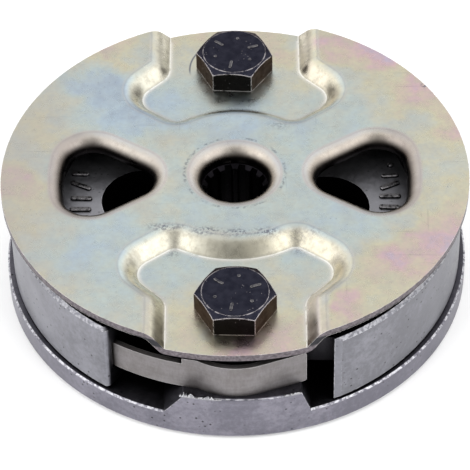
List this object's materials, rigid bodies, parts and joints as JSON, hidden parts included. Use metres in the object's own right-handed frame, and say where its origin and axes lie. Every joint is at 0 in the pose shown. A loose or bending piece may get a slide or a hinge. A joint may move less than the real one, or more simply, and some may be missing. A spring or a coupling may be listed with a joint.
{
  "type": "centrifugal clutch",
  "caption": "Centrifugal clutch: splined carrier with cast shoes that swing out on bolted pivots under a pressed, zinc-plated cover plate.",
  "frame": {"origin": "centre of the carrier's flat underside, on the shaft axis", "axes": "+Z along the shaft axis from the carrier to the cover plate, -Y to the front bolt, +X to the right shoe"},
  "size_m": [0.088, 0.088, 0.0271],
  "materials": {
    "cast_carrier": "as cast, fine pits",
    "zinc_cover": "yellow iridescent zinc plating",
    "black_bolt": "black oxide, worn bright edges",
    "steel_bush": "ground",
    "spring_steel": "rolled, oiled",
    "cast_shoe": "sintered, ground faces"
  },
  "bodies": {
    "rotor": {"carrier": "cast_carrier", "cover_plate": "zinc_cover", "bolt_front": "black_bolt", "bolt_rear": "black_bolt", "pivot_bush_front": "steel_bush", "pivot_bush_rear": "steel_bush", "leaf_spring_front": "spring_steel", "leaf_spring_rear": "spring_steel"},
    "right_shoe": {"shoe_right": "cast_shoe"},
    "left_shoe": {"shoe_left": "cast_shoe"}
  },
  "joints": [
    {"name": "right_shoe_swing", "type": "hinge", "parent": "rotor", "child": "right_shoe", "pos_m": [0, -0.0325, 0.0137], "axis": [0, 0, -1], "range_deg": [0, 3], "stiffness_Nm_per_rad": 10, "springref_deg": -11.46, "deforming": ["leaf_spring_rear"]},
    {"name": "left_shoe_swing", "type": "hinge", "parent": "rotor", "child": "left_shoe", "pos_m": [0, 0.0325, 0.0137], "axis": [0, 0, -1], "range_deg": [0, 3], "stiffness_Nm_per_rad": 10, "springref_deg": -11.46, "deforming": ["leaf_spring_front"]}
  ]
}
